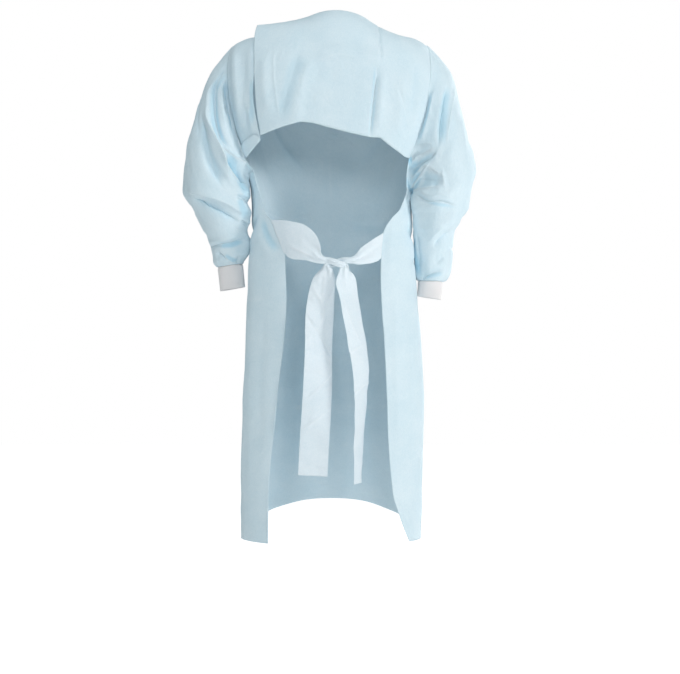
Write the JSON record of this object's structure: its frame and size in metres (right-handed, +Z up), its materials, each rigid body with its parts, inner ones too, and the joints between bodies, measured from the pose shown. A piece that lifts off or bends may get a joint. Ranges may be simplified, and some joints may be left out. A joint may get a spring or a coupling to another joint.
{
  "type": "procedure gown",
  "caption": "Long open-back protective gown with full sleeves, knitted cuffs, an overlapping upper back panel and waist ties knotted behind.",
  "frame": {"origin": "middle of the neck opening, at the height where the shoulder line meets it", "axes": "+Z up, -Y the way the wearer faces, +X to the wearer's left"},
  "size_m": [0.6724, 0.321, 1.2066],
  "materials": {
    "sky_cloth": "pale blue nonwoven cloth, slightly waxy",
    "pale_tie": "very pale blue nonwoven strap",
    "white_knit": "white ribbed knit"
  },
  "bodies": {
    "root": {"front_body": "sky_cloth", "back_yoke": "sky_cloth", "back_left": "sky_cloth", "sleeve_left": "sky_cloth", "sleeve_right": "sky_cloth", "cuff_left": "white_knit", "cuff_right": "white_knit", "tie_left": "pale_tie", "tie_right": "pale_tie"}
  },
  "joints": []
}
